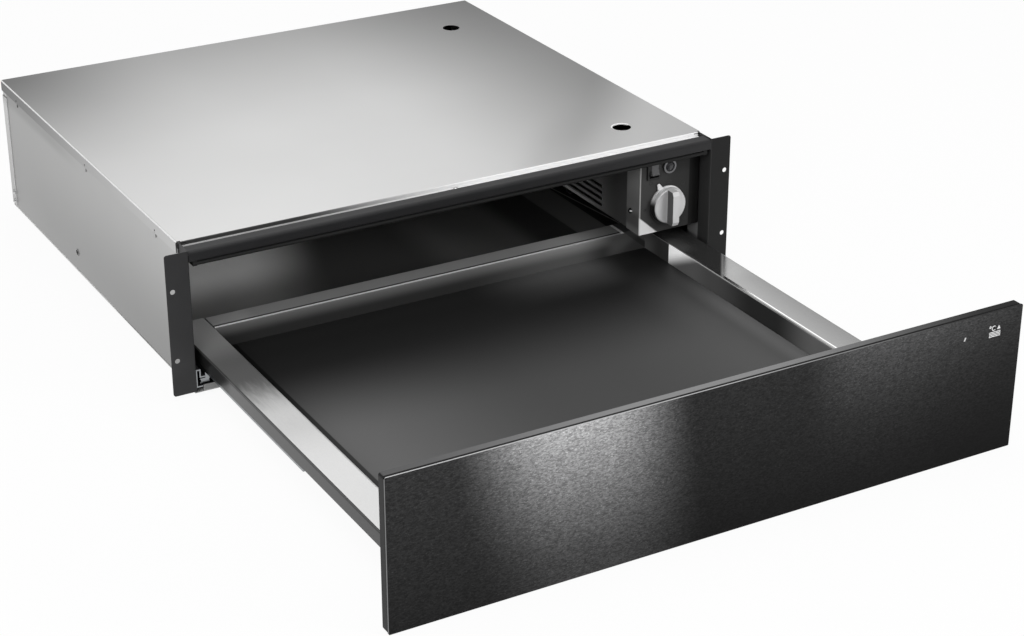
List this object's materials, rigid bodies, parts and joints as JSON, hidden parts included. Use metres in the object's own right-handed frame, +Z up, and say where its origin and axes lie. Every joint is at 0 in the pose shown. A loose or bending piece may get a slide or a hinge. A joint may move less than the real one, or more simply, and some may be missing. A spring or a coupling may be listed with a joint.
{
  "type": "warming_drawer",
  "caption": "Built in warming drawer, pulled out on ball-bearing runners, with a flat dark front, a shallow basin, a heater bay and a flanged steel housing.",
  "frame": {"origin": "middle of the housing's underside, where it stands on the cabinet's shelf", "axes": "+X to the right seen from the front, +Y into the cabinet, +Z up; the drawer comes out towards -Y"},
  "size_m": [0.594, 0.9356, 0.1429],
  "materials": {
    "cover_steel": "satin",
    "case_steel": "satin",
    "inner_steel": "satin",
    "black_paint": "semi-gloss",
    "seal_rubber": "matt",
    "fascia_steel": "brushed",
    "black_plastic": "matt",
    "rocker_plastic": "gloss",
    "lamp_metal": "polished",
    "lamp_dark": "gloss",
    "cream_plastic": "matt",
    "knob_silver": "satin silver",
    "shaft_steel": "turned",
    "galvanised": "zinc plated",
    "motor_black": "semi-gloss",
    "fan_grey": "matt",
    "element_oxide": "oxidised",
    "runner_zinc": "zinc plated",
    "cage_plastic": "matt",
    "ball_chrome": "polished",
    "front_black_steel": "dark brushed, fingerprint-proof lacquer",
    "guide_clear": "frosted",
    "frame_black": "matt",
    "panel_back_steel": "dull",
    "screw_zinc": "zinc plated",
    "rail_steel": "brushed",
    "floor_steel": "satin",
    "mat_rubber": "satin"
  },
  "bodies": {
    "housing": {"top_cover": "cover_steel", "left_side_panel": "case_steel", "right_side_panel": "case_steel", "rear_panel": "case_steel", "base_plate": "inner_steel", "left_flange": "black_paint", "right_flange": "black_paint", "front_beam": "black_paint", "door_seal": "seal_rubber", "cavity_wall": "inner_steel", "control_fascia": "fascia_steel", "switch_body": "black_plastic", "lamp_body": "lamp_metal", "lamp_lens": "lamp_dark", "regulator": "cream_plastic", "fan_scroll": "galvanised", "fan_motor": "motor_black", "heater_duct": "galvanised", "heating_element": "element_oxide", "element_clips": "galvanised", "safety_cutout": "black_plastic", "terminal_block": "cream_plastic", "cable_gland": "black_plastic", "left_runner_brackets": "galvanised", "right_runner_brackets": "galvanised", "left_runner_outer": "runner_zinc", "right_runner_outer": "runner_zinc", "latch_body": "black_plastic", "case_screws": "screw_zinc", "fascia_screw": "screw_zinc"},
    "knob": {"temperature_knob": "knob_silver", "knob_shaft": "shaft_steel"},
    "rocker": {"rocker": "rocker_plastic"},
    "impeller": {"fan_impeller": "fan_grey", "fan_shaft": "shaft_steel"},
    "plunger": {"latch_plunger": "cream_plastic"},
    "left_middle": {"left_runner_middle": "runner_zinc"},
    "right_middle": {"right_runner_middle": "runner_zinc"},
    "left_lower_balls": {"left_lower_cage": "cage_plastic", "left_lower_balls": "ball_chrome"},
    "right_lower_balls": {"right_lower_cage": "cage_plastic", "right_lower_balls": "ball_chrome"},
    "left_upper_balls": {"left_upper_cage": "cage_plastic", "left_upper_balls": "ball_chrome"},
    "right_upper_balls": {"right_upper_cage": "cage_plastic", "right_upper_balls": "ball_chrome"},
    "drawer": {"front_skin": "front_black_steel", "light_guide": "guide_clear", "panel_frame": "frame_black", "panel_back": "panel_back_steel", "panel_screws": "screw_zinc", "left_rail": "rail_steel", "right_rail": "rail_steel", "rear_rail": "rail_steel", "front_rail": "rail_steel", "basin_floor": "floor_steel", "floor_mat": "mat_rubber", "striker_plate": "galvanised", "left_runner_inner": "runner_zinc", "right_runner_inner": "runner_zinc"}
  },
  "joints": [
    {"name": "drawer_slide", "type": "slide", "parent": "housing", "child": "drawer", "axis": [0, -1, 0], "range_m": [-0.412, 0]},
    {"name": "left_runner_slide", "type": "slide", "parent": "housing", "child": "left_middle", "axis": [0, -1, 0], "range_m": [-0.206, 0]},
    {"name": "right_runner_slide", "type": "slide", "parent": "housing", "child": "right_middle", "axis": [0, -1, 0], "range_m": [-0.206, 0]},
    {"name": "left_lower_roll", "type": "slide", "parent": "housing", "child": "left_lower_balls", "axis": [0, -1, 0], "range_m": [-0.103, 0]},
    {"name": "right_lower_roll", "type": "slide", "parent": "housing", "child": "right_lower_balls", "axis": [0, -1, 0], "range_m": [-0.103, 0]},
    {"name": "left_upper_roll", "type": "slide", "parent": "housing", "child": "left_upper_balls", "axis": [0, -1, 0], "range_m": [-0.309, 0]},
    {"name": "right_upper_roll", "type": "slide", "parent": "housing", "child": "right_upper_balls", "axis": [0, -1, 0], "range_m": [-0.309, 0]},
    {"name": "knob_turn", "type": "hinge", "parent": "housing", "child": "knob", "pos_m": [0.2327, -0.2552, 0.0733], "axis": [0, 1, 0], "range_deg": [0, 270]},
    {"name": "rocker_tilt", "type": "hinge", "parent": "housing", "child": "rocker", "pos_m": [0.217, -0.2447, 0.1125], "axis": [1, 0, 0], "range_deg": [0, 12]},
    {"name": "impeller_spin", "type": "hinge", "parent": "housing", "child": "impeller", "pos_m": [0.222, -0.0222, 0.0893], "axis": [1, 0, 0], "continuous": true},
    {"name": "plunger_press", "type": "slide", "parent": "housing", "child": "plunger", "axis": [0, 1, 0], "range_m": [0, 0.003], "stiffness_N_per_m": 200, "springref_m": -0.002}
  ],
  "couplings": [
    {"joint": "left_runner_slide", "follows": "drawer_slide", "ratio": 0.5},
    {"joint": "right_runner_slide", "follows": "drawer_slide", "ratio": 0.5},
    {"joint": "left_lower_roll", "follows": "drawer_slide", "ratio": 0.25},
    {"joint": "right_lower_roll", "follows": "drawer_slide", "ratio": 0.25},
    {"joint": "left_upper_roll", "follows": "drawer_slide", "ratio": 0.75},
    {"joint": "right_upper_roll", "follows": "drawer_slide", "ratio": 0.75}
  ]
}
